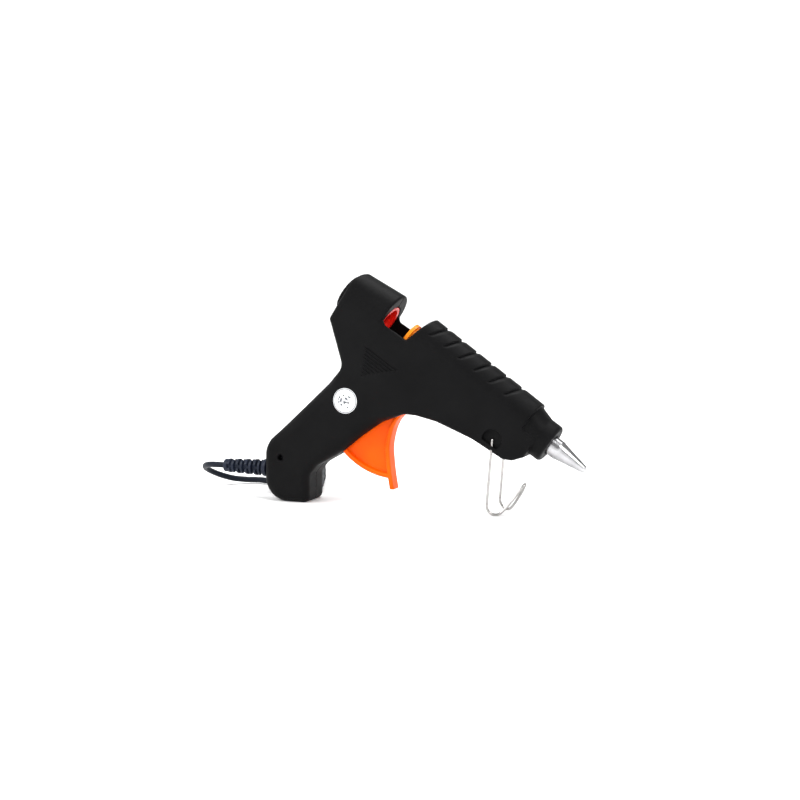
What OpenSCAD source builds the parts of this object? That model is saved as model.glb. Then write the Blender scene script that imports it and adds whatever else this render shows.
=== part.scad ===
// Hot melt glue gun for 11 mm glue sticks, standing on its heel and its wire stand.
// World frame: +Z up, +X the way the nozzle points, the housing is split at y = 0.
// Gun frame: u runs forward along the glue stick from the back of the hood, v runs up
// across it. The gun frame leans nose down by "lean" about the Y axis.

/* [Stance] */
// Angle by which the barrel points down while the gun stands
lean = 34; // [28:1:40]
// Height of the stick's axis above the floor at the back of the hood
axis_h = 140; // [130:1:170]

/* [Barrel and hood] */
// Length of the hood over the stick inlet
hood_len = 32.5; // [27:0.5:39]
// Length of the open window between hood and barrel
window_len = 28; // [25:0.5:34]
// Length of the barrel from its back wall to its front face
barrel_len = 108; // [104:1:130]
// Length of the stepped neck at the front, collar included
neck_len = 19; // [16:0.5:23]
// Length of the round collar at the front face
collar_len = 10; // [8:0.5:12]
// Diameter of the collar
collar_d = 26; // [23:0.5:28]
// Width of the barrel
barrel_w = 30; // [28:0.5:36]
// Width of the hood
hood_w = 33; // [31:0.5:39]
// Wall of the two shells
wall = 2.2; // [1.8:0.1:2.7]

/* [Handle] */
// Angle of the handle from the vertical
handle_rake = 45; // [40:1:50]
// Depth of the handle, front to back
handle_depth = 34.5; // [32:0.5:42]
// Width of the handle
handle_w = 29.6; // [27:0.2:34]
// Radius of the round back of the heel
heel_r = 22.3; // [22:0.1:26]

/* [Trigger] */
// Distance from the stick's axis down to the trigger's pivot
pivot_drop = 38; // [35:0.5:42]
// Width of the trigger
trigger_w = 10; // [8:0.5:12]
// Radius of the trigger's lower edge about its pivot
trigger_r = 51.5; // [48:0.5:54]
// Angle by which the trigger can be pulled
trigger_pull = 26; // [20:1:30]
// Diameter of the trigger's steel pin
pin_d = 4; // [3:0.5:5]

/* [Feed] */
// Diameter of the glue stick
stick_d = 11.2; // [10.5:0.1:12]
// Diameter of the ring at the back of the feed carriage
carriage_d = 22; // [20:0.5:24]
// Length of the ring along the stick
ring_len = 4; // [3:0.5:5]

/* [Nozzle and heater] */
// Length of the nozzle that shows
nozzle_len = 26.5; // [22:0.5:32]
// Diameter of the nozzle's round base
nozzle_d = 12.6; // [12.2:0.2:15]
// Diameter of the nozzle's tip
tip_d = 4.6; // [3.8:0.2:5.6]
// Diameter of the hole that the glue leaves by
orifice_d = 1.6; // [1.2:0.1:2]
// Diameter of the heating chamber
chamber_d = 18.4; // [17.6:0.2:19.4]
// Length of the ceramic heater plate
heater_len = 30; // [25:1:34]

/* [Stand] */
// Diameter of the stand's wire
wire_d = 1.9; // [1.6:0.1:2.2]
// Angle by which the stand folds back
stand_fold = 80; // [60:5:80]

/* [Cord] */
// Diameter of the power cord
cord_d = 4; // [3.4:0.2:4.8]
// Diameter of the ribbed strain relief
boot_d = 9.2; // [8:0.2:11]
// Length of the strain relief outside the handle
boot_len = 33; // [28:1:38]

/* [Fits] */
// Radial gap of pins and shafts in their holes
running = 0.05; // [0.03:0.01:0.08]
// Gap beside pieces that slide past each other
sliding = 0.3; // [0.2:0.05:0.4]

/* [Hidden] */
$fn = 64;
black = [0.11, 0.11, 0.11];
orange = [1, 0.4, 0];
steel = [0.75, 0.76, 0.77];

// stations along the stick
u_window = hood_len;
u_barrel = hood_len + window_len;
u_face = u_barrel + barrel_len;
u_neck = u_face - neck_len;
u_collar = u_face - collar_len;
u_tip = u_face + nozzle_len;
rear_u = 3.6;                     // back plane of the hood, the inlet ring stands behind it
sill_v = 1;                       // height of the window's lower edge
hood_top = 19.2;
barrel_top = 18.8;
neck_top = 15.4;
collar_r = collar_d/2;
bore_r = stick_d/2 + 0.6;         // free bore for the stick

// heel and handle
waist = [28, -44.5];
heel_c = heel_r - 0.8;            // height of the heel's centre, its round cut flat by the floor
heel_front = heel_r - 8;        // distance from that centre to the heel's flat front
heel_corner = 4;
waist_off = [waist.x*cos(lean) + waist.y*sin(lean), axis_h - waist.x*sin(lean) + waist.y*cos(lean)];
heel_off = waist_off.x - (waist_off.y - heel_c)*tan(handle_rake) + heel_r/cos(handle_rake);
tip_off = u_tip*cos(lean) + tip_d/2*sin(lean);
gun_x = -(tip_off + heel_off - heel_r)/2;   // puts x = 0 in the middle of the gun
heel_x = gun_x + heel_off;

// the gun frame's point (u, v) in the world's x and z
function at(u, v) = [gun_x + u*cos(lean) + v*sin(lean), axis_h - u*sin(lean) + v*cos(lean)];
// a point s down the handle from the waist and d forward of the handle's back
function grip(s, d) = at(waist.x, waist.y) + s*[-sin(handle_rake), -cos(handle_rake)]
    + d*[cos(handle_rake), -sin(handle_rake)];
function arc(c, r, a0, a1, n) = [for (i = [0:n]) c + r*[cos(a0 + (a1 - a0)*i/n), sin(a0 + (a1 - a0)*i/n)]];

// trigger and feed
pivot = [u_barrel + 8.5, -pivot_drop];
pin_v = -13.2;                    // height of the carriage's drive pin
drive_arm = pin_v - pivot.y;
half_pull = trigger_pull/2;
drive_u = pivot.x - drive_arm*tan(half_pull);
travel = 2*drive_arm*tan(half_pull);
drive_pin_r = 1.5;
rail_in = 3.6;
rail_out = 6.6;
rail_top = -11;
rail_bottom = -16;
bush_u = u_barrel - 8.3;          // back face of the inlet bush
bush_flange = 3.5;
bush_end = u_barrel + 5.5;
ring_u = bush_u - travel - ring_len - 5.8;
jaw_at = [ring_u + ring_len + 5.5, -13.5];
jaw_pin_r = 1.25;
jaw_room = rail_in + 0.2;
apex = [u_barrel + 19.8, -38.6];

// heater
chamber_r = chamber_d/2;
chamber_u = u_barrel + 27.5;      // back of the chamber's thick part
chamber_end = u_face - 16.5;
spigot_u = chamber_u - 12;
spigot_r = bore_r + 0.8;
sleeve_r = spigot_r + 1.3;
snout_r = 5;
snout_end = u_face - 5.7;
seat_r = 1.6;
ball_r = 2;
ball_u = snout_end + sqrt(ball_r*ball_r - seat_r*seat_r) + 0.06;
ball_cavity_r = 2.7;
heater_u = u_barrel + 49;         // back end of the heater plate
pad_v = -12;
film = 0.3;
sheet = 0.5;
plate_t = 2.4;
plate_w = 13;

// stand
stand_at = [u_neck - 11.7, -16.7];
stand_p = at(stand_at.x, stand_at.y);
wire_r = wire_d/2;
leg_y = barrel_w/2 - 0.8;
pocket_y = leg_y - wire_r - 0.3;
pocket_r = 9;
leg_lean = 3.4;                   // how far back each leg's knee is from its pivot
knee_z = 8;
belly_drop = 7.3;                 // from the stand's pivot down to the belly
// slope of the folded leg, and where its top side leaves the barrel
folded = 90 + lean - stand_fold - atan(leg_lean/(stand_p.y - knee_z));
pocket_back = (belly_drop + (wire_r + 0.4)/cos(folded))/tan(folded);

// cord
cord_r = cord_d/2;
cord_z = 19.8;
heel_back = heel_x - heel_r;
boot_end = heel_back - boot_len;
clamp_x = heel_x + 2.5;

// fasteners: the four screws go in from the right side, the fifth from the left
screw_r = 1.4;
head_r = 2.7;
head_h = 2;
head_y = 8;                       // the seat under each head, from the split plane
screw_end = 10;
boss_r = 4.4;
right_screws = [at(13, -24), at(u_window + 12.5, -28), at(u_barrel + 43.5, -21.6), grip(38, 8.5)];
left_screw = [heel_x - 6.5, cord_z + 9.8];

side = concat(
    [at(rear_u, -18.5), at(rear_u, 12.5), at(rear_u + 3, 17.2), at(u_window, hood_top),
     at(u_window + 0.8, sill_v - 1), at(u_barrel - 4.5, sill_v + 0.5), at(u_barrel - 1, barrel_top),
     at(u_neck, barrel_top - 1.9), at(u_neck, neck_top), at(u_collar, collar_r - 0.6),
     at(u_face - 0.3, collar_r - 0.6), at(u_face - 0.3, -collar_r + 0.6), at(u_collar, -collar_r + 0.6),
     at(u_neck + 4.6, -19.8), at(u_neck + 0.4, -22.2), at(u_neck - 22.8, -24),
     at(u_barrel + 40.6, -28.3), at(u_barrel + 27, -32.8), at(apex.x, apex.y),
     at(u_barrel + 9.5, -54), at(u_barrel + 3.5, -69)],
    [grip(35.7, handle_depth), grip(54, handle_depth), [heel_x + heel_front, cord_z - 2]],
    arc([heel_x + heel_front - heel_corner, heel_corner], heel_corner, 0, -90, 3),
    arc([heel_x, heel_c], heel_r, 270 - acos(heel_c/heel_r), 180 - handle_rake, 9),
    [at(waist.x, waist.y), at(24.5, -38.5)]);

// a clockwise outline moved inwards by t, edge by edge
function inset(p, t) = [for (i = [0:len(p) - 1])
    let (a = p[(i + len(p) - 1) % len(p)], b = p[i], c = p[(i + 1) % len(p)],
         d = (b - a)/norm(b - a), e = (c - b)/norm(c - b),
         m = [d.y, -d.x], n = [e.y, -e.x])
    b + t*(m + n)/(1 + m*n)];

// rings of points around a route, joined into one tube; each ring is turned as little
// as it can be from the one before
function unit(v) = v/norm(v);
function heading(p, i) = unit(p[min(i + 1, len(p) - 1)] - p[max(i - 1, 0)]);
function square_to(v, t) = unit(v - (v*t)*t);
function first_side(t) = square_to(abs(t.z) < 0.8 ? [0, 0, 1] : [1, 0, 0], t);
function ring_sides(p) = [for (i = 0, s = first_side(heading(p, 0)); i < len(p);
    i = i + 1, s = i < len(p) ? square_to(s, heading(p, i)) : s) s];
function ring_at(c, t, s, r, n) = [for (k = [0:n - 1]) c + r*(cos(360*k/n)*s + sin(360*k/n)*cross(t, s))];
module tube(p, r, n = 8) {
    last = len(p) - 1;
    sides = ring_sides(p);
    polyhedron(
        points = [for (i = [0:last]) each ring_at(p[i], heading(p, i), sides[i], r, n)],
        faces = concat(
            [[for (k = [0:n - 1]) k]],
            [for (i = [0:last - 1], k = [0:n - 1])
                [i*n + k, (i + 1)*n + k, (i + 1)*n + (k + 1) % n, i*n + (k + 1) % n]],
            [[for (k = [n - 1:-1:0]) last*n + k]]));
}
// a route through its points with each corner rounded by n short steps
function bezier(a, b, c, t) = (1 - t)*(1 - t)*a + 2*t*(1 - t)*b + t*t*c;
function smooth(p, n) = concat([p[0]],
    [for (i = [1:len(p) - 2], k = [0:n - 1])
        bezier((p[i - 1] + p[i])/2, p[i], (p[i] + p[i + 1])/2, k/n)],
    [(p[len(p) - 2] + p[len(p) - 1])/2, p[len(p) - 1]]);

module in_gun() translate([gun_x, 0, axis_h]) rotate([0, lean, 0]) children();
// an outline in x and z, made solid from y0 to y1
module slab(p, y0, y1) translate([0, y1, 0]) rotate([90, 0, 0]) linear_extrude(y1 - y0) polygon(p);
// a round bar along Y at a point [x, z]
module across(p, r, y0, y1) translate([p.x, y1, p.y]) rotate([90, 0, 0]) cylinder(r = r, h = y1 - y0);
// a round bar along the stick, in the gun frame
module along(u0, u1, r) translate([u0, 0, 0]) rotate([0, 90, 0]) cylinder(r = r, h = u1 - u0);
// a turned piece about the stick's axis, from points [r, u]
module turned(p) rotate([0, 90, 0]) rotate_extrude() polygon(p);
// a box in the gun frame from its lowest to its highest corner
module block(a, b) translate(a) cube(b - a);

// the outside form at t = 0, and the hollow inside it at t = wall
module arched(u0, u1, w, top, low, t) {
    r = w/2 - t;
    translate([u0, 0, top - w/2]) rotate([0, 90, 0]) cylinder(r = r, h = u1 - u0);
    block([u0, -r, low], [u1, r, top - w/2]);
}
module form(t) intersection() {
    slab(t == 0 ? side : inset(side, t), -hood_w/2, hood_w/2);
    union() {
        in_gun() arched(0, u_window, hood_w, hood_top, -16, t);
        in_gun() arched(u_window - 1, u_face, barrel_w, barrel_top, -40, t);
        slab([at(-5, -12), at(u_barrel + 12, -12), at(u_barrel + 12, -62), [heel_x + heel_r + 10, -5],
              [heel_back - 5, -5], [heel_back - 5, 60], at(-5, -40)], -handle_w/2 + t, handle_w/2 - t);
    }
}
// the stick inlet ring behind the hood and the collar around the nozzle
module rings(t) in_gun() {
    if (t == 0) along(0, rear_u + wall, 13);
    along(u_collar - (t == 0 ? 0.3 : 9), u_face - t, collar_r - t);
}
// what holds the pieces inside: bulkheads, guides and bosses
module holders() {
    intersection() {
        form(0);
        in_gun() {
            difference() {
                block([u_barrel - 6, -barrel_w, -17], [u_barrel + 1, barrel_w, 20]);
                along(u_barrel - 10, u_barrel + 10, sleeve_r + 0.15);
                block([u_barrel - 10, -rail_out - sliding, -20], [u_barrel + 10, rail_out + sliding, rail_top + sliding]);
            }
            for (u = [chamber_u + 5, chamber_end - 6]) difference() {
                block([u, -barrel_w, -12], [u + 2, barrel_w, 20]);
                along(u - 1, u + 3, chamber_r + running);
            }
            for (s = [-1, 1]) translate([0, s*(rail_in + 0.6 + 10), 0])
                block([ring_u + ring_len + 3, -10, rail_bottom - 2.2], [u_barrel + 20, 10, rail_bottom - 0.2]);
        }
    }
    for (p = concat(right_screws, [left_screw])) across(p, boss_r, -barrel_w/2 + 1, barrel_w/2 - 1);
    in_gun() {
        across(pivot, pin_d/2 + 2, -barrel_w/2 + 1, -trigger_w/2 - 0.4);
        across(pivot, pin_d/2 + 2, trigger_w/2 + 3.7, barrel_w/2 - 1);
        for (s = [-1, 1]) intersection() {
            form_pocket(s, 0);
            block([stand_at.x - 20, -20, -40], [stand_at.x + 20, 20, 0]);
        }
    }
    intersection() {
        form(0);
        difference() {
            translate([heel_back + wall + 3, -20, cord_z - 9]) cube([2, 40, 18]);
            translate([heel_back, 0, cord_z]) rotate([0, 90, 0]) cylinder(r = 4.5, h = 20);
        }
    }
}
// the bay in each side of the barrel that the stand's leg swings in; d > 0 cuts it
module form_pocket(s, d) {
    y0 = pocket_y - (d > 0 ? 0 : 2);
    y1 = d > 0 ? barrel_w : pocket_y;
    grow = d > 0 ? 0 : 1.6;
    translate([0, s > 0 ? 0 : -y0 - y1, 0]) {
        across(stand_at, pocket_r + grow, y0, y1);
        block([stand_at.x - pocket_back - grow, y0, stand_at.y - 14],
              [stand_at.x + pocket_r + grow, y1, stand_at.y]);
    }
}
module housing() {
    difference() {
        union() {
            difference() {
                union() { form(0); rings(0); }
                form(wall);
                rings(wall);
            }
            intersection() { union() { form(0); rings(0); } holders(); }
        }
        in_gun() {
            along(-1, rear_u + wall + 1, bore_r);
            along(u_face - wall - 1, u_face + 1, nozzle_d/2 + 0.3);
            block([u_window + 0.5, -barrel_w/2 + wall, -9], [u_barrel - 6, barrel_w/2 - wall, 25]);
            along(u_window - 3, u_window + 5, hood_w/2 - wall - 0.6);
            across(pivot, pin_d/2 + running, -12, 12);
            for (s = [-1, 1]) form_pocket(s, 1);
            across(stand_at, wire_r + running, -barrel_w, barrel_w);
            // room for the inlet bush in the barrel's rear wall and for the jaw below it
            along(u_barrel - 6.5, u_barrel + 3, sleeve_r + 0.15);
            block([u_barrel - 6.5, -jaw_room, rail_top], [u_barrel + 3, jaw_room, -6]);
        }
        trigger_slot();
        translate([heel_back - 3, 0, cord_z]) rotate([0, 90, 0]) cylinder(r = 4.1, h = 9);
        for (p = right_screws) screw_hole(p, 1);
        screw_hole(left_screw, -1);
    }
}
// the opening that the trigger swings in
module trigger_slot() slab(
    [at(apex.x + 1.5, apex.y - 6), at(apex.x - 3.5, apex.y + 8), at(pivot.x, -32), at(u_barrel - 12, -58),
     grip(38, handle_depth - 13), grip(38, handle_depth - 1), grip(38, handle_depth + 8)],
    -trigger_w/2 - 0.4, trigger_w/2 + 0.4);
// a screw's hole: head room on side s, clearance up to the split, pilot beyond it
module screw_hole(p, s) mirror([0, s > 0 ? 0 : 1, 0]) {
    across(p, head_r + 0.4, head_y, hood_w);
    across(p, screw_r + 0.2, -0.01, head_y + 0.1);
    across(p, screw_r + running, -screw_end - 0.5, 0);
}
module half(s) intersection() {
    children();
    translate([-400, s > 0 ? 0 : -100, -100]) cube([800, 100, 400]);
}

module left_shell() color(black) {
    half(-1) housing();
    for (z = [-1, 1]) clamp_post(z);
}
module right_shell() color(black) half(1) housing();

// a post in the left shell that takes one of the cord clamp's screws
clamp_gap = 5.4;
module clamp_post(s) difference() {
    across([clamp_x, cord_z + s*clamp_gap], 2.5, -handle_w/2 + wall, cord_r);
    across([clamp_x, cord_z + s*clamp_gap], 1.1 + running, -5, 5);
}

socket_u = u_face - 12.5;
cone_u = u_face + 6.6;
module nozzle() color([0.8, 0.8, 0.82]) in_gun() turned([
    [snout_r + running, socket_u], [8, socket_u], [8, socket_u + 4], [nozzle_d/2, socket_u + 4],
    [nozzle_d/2, cone_u], [tip_d/2 + 0.3, u_tip - 0.8], [tip_d/2 - 0.5, u_tip],
    [orifice_d/2, u_tip], [orifice_d/2, cone_u + 6], [ball_cavity_r, cone_u + 3],
    [ball_cavity_r, snout_end + 0.1], [snout_r + running, snout_end + 0.1]]);

module check_ball() color(steel) in_gun() translate([ball_u, 0, 0]) sphere(r = ball_r);

// a helix about the stick's axis from u0 to u1
function helix(u0, u1, r, turns, steps) = [for (i = [0:turns*steps])
    [u0 + (u1 - u0)*i/(turns*steps), r*cos(360*i/steps), r*sin(360*i/steps)]];
spring_wire = 0.25;
spring_r = 1.7;
module check_spring() color(steel) in_gun()
    tube(helix(ball_u + sqrt(ball_r*ball_r - spring_r*spring_r) + 2*spring_wire, cone_u + 2.6, spring_r, 5, 10),
         spring_wire, 6);

module heating_chamber() color([0.72, 0.72, 0.74]) in_gun() difference() {
    union() {
        turned([
            [bore_r - 0.2, spigot_u], [spigot_r, spigot_u], [spigot_r, chamber_u],
            [chamber_r, chamber_u], [chamber_r, chamber_end], [snout_r, chamber_end],
            [snout_r, snout_end], [seat_r, snout_end], [2.5, snout_end - 1],
            [2.5, chamber_end - 2], [4.2, heater_u + 12], [bore_r - 0.2, heater_u]]);
        difference() {
            block([heater_u - 2, -8, pad_v], [heater_u + heater_len + 2, 8, 0]);
            along(heater_u - 3, heater_u + heater_len + 3, chamber_r - 0.5);
        }
    }
    // fins between thick rings keep the wall even
    for (u = [chamber_u + 12, chamber_u + 16]) difference() {
        along(u, u + 1.6, chamber_r + 1);
        along(u - 1, u + 3, chamber_r - 1);
    }
}

stack = [pad_v, pad_v - film, pad_v - film - sheet, pad_v - film - sheet - plate_t,
         pad_v - film - 2*sheet - plate_t, pad_v - 2*film - 2*sheet - plate_t];
module heater_plate() color([0.35, 0.33, 0.32]) in_gun()
    block([heater_u, -plate_w/2, stack[3]], [heater_u + heater_len, plate_w/2, stack[2]]);
tab_len = 4;
module heater_electrodes() color([0.85, 0.65, 0.3]) in_gun() for (s = [0, 1]) {
    block([heater_u, -plate_w/2, stack[2 + 2*s]], [heater_u + heater_len, plate_w/2, stack[1 + 2*s]]);
    block([heater_u - tab_len, s > 0 ? 1 : -4, stack[2 + 2*s]], [heater_u, s > 0 ? 4 : -1, stack[1 + 2*s]]);
}
module heater_insulation() color([0.85, 0.6, 0.2]) in_gun() for (s = [0, 1])
    block([heater_u - 1, -7.5, stack[s > 0 ? 5 : 1]], [heater_u + heater_len + 1, 7.5, stack[s > 0 ? 4 : 0]]);
clip_t = 0.6;
module heater_clip() color(steel) in_gun() {
    block([heater_u + 4, -8.1 - clip_t, stack[5] - clip_t], [heater_u + heater_len - 4, 8.1 + clip_t, stack[5]]);
    for (s = [-1, 1]) translate([0, s*(8.1 + clip_t/2), 0])
        block([heater_u + 4, -clip_t/2, stack[5]], [heater_u + heater_len - 4, clip_t/2, -5.5]);
}

module silicone_sleeve() color([0.75, 0.16, 0.1]) in_gun() turned([
    [bore_r, bush_end + 0.1], [sleeve_r, bush_end + 0.1], [sleeve_r, chamber_u - 0.2],
    [spigot_r + running, chamber_u - 0.2], [spigot_r + running, spigot_u - 0.1], [bore_r, spigot_u - 0.1]]);
module sleeve_clamp() color(steel) in_gun() turned([
    [sleeve_r + 0.02, chamber_u - 7], [sleeve_r + 0.7, chamber_u - 7],
    [sleeve_r + 0.7, chamber_u - 4.5], [sleeve_r + 0.02, chamber_u - 4.5]]);
module inlet_bush() color([1, 0.55, 0.05]) in_gun() difference() {
    turned([[bore_r, bush_u], [10, bush_u], [10, bush_u + bush_flange - 1.3],
        [sleeve_r, bush_u + bush_flange - 1.3], [sleeve_r, bush_end], [bore_r, bush_end]]);
    block([bush_u - 1, -jaw_room, -12], [bush_u + 8, jaw_room, 0]);
}

module feed_carriage() color([0.9, 0.1, 0.08]) in_gun() difference() {
    union() {
        along(ring_u, ring_u + ring_len, carriage_d/2);
        block([ring_u, -rail_out, rail_bottom], [ring_u + ring_len, rail_out, -6]);
        for (s = [-1, 1]) translate([0, s*(rail_in + rail_out)/2, 0])
            block([ring_u, -(rail_out - rail_in)/2, rail_bottom], [drive_u + 3.5, (rail_out - rail_in)/2, rail_top]);
        across([drive_u, pin_v], drive_pin_r, -rail_out, rail_out);
    }
    along(ring_u - 1, ring_u + ring_len + 1, bore_r);
    translate([ring_u + ring_len - 2.7, 0, 0]) rotate([0, 90, 0]) cylinder(r1 = bore_r, r2 = bore_r + 2.72, h = 2.72);
    across(jaw_at, jaw_pin_r + running, -rail_out - 1, rail_out + 1);
}
jaw_tip_v = -bore_r - 0.5;
module grip_jaw() color([0.9, 0.1, 0.08]) in_gun() difference() {
    union() {
        across(jaw_at, jaw_pin_r + 1.3, -rail_in + sliding, rail_in - sliding);
        slab([jaw_at + [-2.4, 0], [jaw_at.x - 3.4, jaw_tip_v], [jaw_at.x - 2.4, jaw_tip_v - 0.8],
              [jaw_at.x - 1.6, jaw_tip_v], [jaw_at.x - 0.6, jaw_tip_v - 0.8], jaw_at + [2.4, 0]],
             -rail_in + sliding, rail_in - sliding);
    }
    across(jaw_at, jaw_pin_r + running, -10, 10);
}
module jaw_pin() color(steel) in_gun() across(jaw_at, jaw_pin_r, -rail_out, rail_out);

// the trigger, about its pivot: x forward and z up in the world, at rest
face = [[4.5, -8.8], [0.2, -14], [-2.6, -20.4], [-4.6, -30.4], [-4.3, -39], [-3.2, -49], [-1.6, -58.6]];
flange_t = 2.9;
rim_t = 3;
function polar(r, a) = r*[cos(a), sin(a)];
module trigger() color(orange) {
    p = at(pivot.x, pivot.y);
    stretch = trigger_r/51.5;
    front = [for (q = face) stretch*q];
    back = [for (i = [len(face) - 1:-1:0]) stretch*face[i] - [flange_t, i == 0 ? -flange_t : 0]];
    translate([p.x, 0, p.y]) difference() {
        union() {
            across([0, 0], pin_d/2 + 2.6, -trigger_w/2, trigger_w/2);
            slab(concat(front, back), -trigger_w/2, trigger_w/2);
            slab(concat([[2, 0], front[0], front[3], front[5]], arc([0, 0], trigger_r - 1, 264, 217, 10), [[-3, 0]]),
                 -trigger_w/2 + 3, trigger_w/2 - 3);
            slab(concat(arc([0, 0], trigger_r, 265, 217, 12), arc([0, 0], trigger_r - rim_t, 217, 265, 12)),
                 -trigger_w/2, trigger_w/2);
            drive_fork();
        }
        across([0, 0], pin_d/2 + running + 0.01, -trigger_w, trigger_w);
    }
}
// the arm that drives the carriage, with an open slot around its pin
module drive_fork() rotate([0, -(90 - lean + half_pull), 0]) difference() {
    reach = drive_arm/cos(half_pull);
    block([0, -rail_in + sliding, -3.6], [reach + 1.6, rail_in - sliding, 3.6]);
    block([drive_arm - 2.2, -10, -drive_pin_r - 0.12], [reach + 5, 10, drive_pin_r + 0.12]);
}
module trigger_pin() color(steel) in_gun() across(pivot, pin_d/2, -11.9, 11.9);

// torsion spring beside the trigger's hub, one leg on the trigger and one on the shell
coil_r = pin_d/2 + 1.3;
module return_spring() color(steel) {
    p = at(pivot.x, pivot.y);
    y = trigger_w/2 + 0.5;
    turns = [for (i = [0:36]) [p.x + coil_r*cos(200 - 30*i), y + 0.4 + 0.06*i, p.y + coil_r*sin(200 - 30*i)]];
    tube(concat([[p.x - 5, y + 0.3, p.y - 8]], turns, [[p.x - 7, y + 2.6, p.y + 12]]), 0.4, 6);
}

// the stand's wire: a pin into each side, two legs, two feet and a narrow beak between them
tip_rise = 19.6;
beak_r = 1.6;
beak_slope = 56;
sides = 12;
leg_r = wire_r/cos(180/sides) + 0.03;
module wire_stand() color(steel) {
    x = stand_p.x - leg_lean;
    beak = [x + 21 - beak_r*cos(beak_slope), tip_rise - beak_r*sin(beak_slope)];
    leg = [[stand_p.x + 0.1, leg_y, stand_p.y + wire_r], [x, leg_y, knee_z], [x + 0.7, leg_y - 0.3, 3.9],
        [x + 2.6, leg_y - 1, 1.75], [x + 5.2, leg_y - 2.2, leg_r + 0.01], [x + 8, leg_y - 3.8, leg_r + 1]];
    bend = [for (a = [0:22.5:180]) [beak.x + beak_r*sin(a)*cos(beak_slope), beak_r*cos(a),
        beak.y + beak_r*sin(a)*sin(beak_slope)]];
    tube(concat(leg, bend, [for (i = [len(leg) - 1:-1:0]) [leg[i].x, -leg[i].y, leg[i].z]]), leg_r, sides);
    for (s = [0, 1]) mirror([0, s, 0]) across([stand_p.x, stand_p.y], wire_r, pocket_y - 2.6, leg_y);
}

// ribbed strain relief; its flange sits inside the heel
rib_count = 8;
rib_pitch = (boot_len - 7)/rib_count;
module strain_relief() color([0.12, 0.14, 0.18]) translate([heel_back, 0, cord_z]) rotate([0, -90, 0]) {
    big = boot_d/2;
    small = boot_d/2 - 1;
    rotate_extrude() polygon(concat(
        [[cord_r + running, -wall - 2.8], [5.4, -wall - 2.8], [5.4, -wall - 1.5], [4, -wall - 1.5],
            [4, 0.4], [big + 0.8, 0.4], [big + 0.8, 3]],
        [for (i = [0:rib_count - 1]) each [[small, 3 + i*rib_pitch], [small, 3 + (i + 0.45)*rib_pitch],
            [big - 0.06*i, 3 + (i + 0.45)*rib_pitch], [big - 0.06*i, 3 + (i + 1)*rib_pitch]]],
        [[small, boot_len - 4], [small, boot_len - 2.6], [big - 0.4, boot_len - 2.6], [big - 0.4, boot_len],
         [cord_r + running, boot_len]]));
}
module cord_clamp() color([0.9, 0.9, 0.88]) difference() {
    translate([clamp_x - 3, cord_r + 0.02, cord_z - clamp_gap - 2.6]) cube([6, 2.5, 2*clamp_gap + 5.2]);
    for (s = [-1, 1]) across([clamp_x, cord_z + s*clamp_gap], 1.3, 0, 10);
}
module clamp_screws() color(steel) for (s = [-1, 1]) {
    across([clamp_x, cord_z + s*clamp_gap], 1.1, -4, cord_r + 2.6);
    across([clamp_x, cord_z + s*clamp_gap], 2.1, cord_r + 2.56, cord_r + 4);
}
module screw(p, s) mirror([0, s > 0 ? 0 : 1, 0]) difference() {
    union() {
        across(p, screw_r, -screw_end, head_y + 0.1);
        across(p, head_r, head_y, head_y + head_h);
    }
    for (a = [0, 90]) translate([p.x, head_y + head_h, p.y]) rotate([0, a, 0])
        cube([3.2, 2, 0.7], center = true);
}
module housing_screws() color(steel) for (p = right_screws) screw(p, 1);
module handle_screw() color(steel) screw(left_screw, -1);

// wiring, in the gun frame near the heater and in the world frame in the heel
lead_r = 0.9;
crimp_x = heel_x + 9.5;
function gun_point(u, y, v) = [at(u, v).x, y, at(u, v).y];
function lead_route(y, k) = smooth([
    gun_point(heater_u - tab_len - 0.2, k > 0 ? 2.5 : -2.5, k > 0 ? stack[3] - 0.2 : stack[1] - 0.2),
    gun_point(heater_u - 9, y, -15.2 - k), gun_point(u_barrel + 33, y, -16.2 - k), gun_point(u_barrel + 24, y, -20.6),
    gun_point(u_window + 24, y, -20.6), gun_point(u_window + 4, y, -21), gun_point(30, y, -30),
    [grip(14, 10).x, y, grip(14, 10).y], [grip(52, 16).x, y, grip(52, 16).y], [crimp_x, y, cord_z + 17.5],
    [crimp_x, y, cord_z + 12.1]], 3);
lead_y = [-10.4, -8];
module heater_leads() color([0.9, 0.9, 0.9]) for (k = [0, 1]) tube(lead_route(lead_y[k], k), lead_r, 6);
module crimp_sleeves() color(steel) for (y = lead_y)
    translate([crimp_x, y, cord_z + 4]) cylinder(r = 1.1, h = 8);
module cord_cores() color([0.35, 0.2, 0.1]) for (k = [0, 1]) tube(smooth([
    [heel_x + 6.05, 0, cord_z + 2*k - 1], [heel_x + 6.7, 0, cord_z + 2*k - 1],
    [heel_x + 8.2, -1.4, cord_z + 2*k - 1],
    [crimp_x, lead_y[k] + 1, cord_z + 2*k - 1.5], [crimp_x, lead_y[k], cord_z + 3.9]], 4), 0.8, 6);

label_at = at(43.2, -56);
module side_label() color([0.95, 0.95, 0.95]) across(label_at, 8.4, -handle_w/2 - 0.3, -handle_w/2);

// the cord: out of the boot, back behind the handle, into the hank
hank_turn = 22;                   // angle of the hank's long side from the Y axis
hank_at = [heel_back - 3.33, 55];
hank_len = 78;
hank_w = 36;
hank_h = 16.6;
hank_floor = 0.8;
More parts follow.
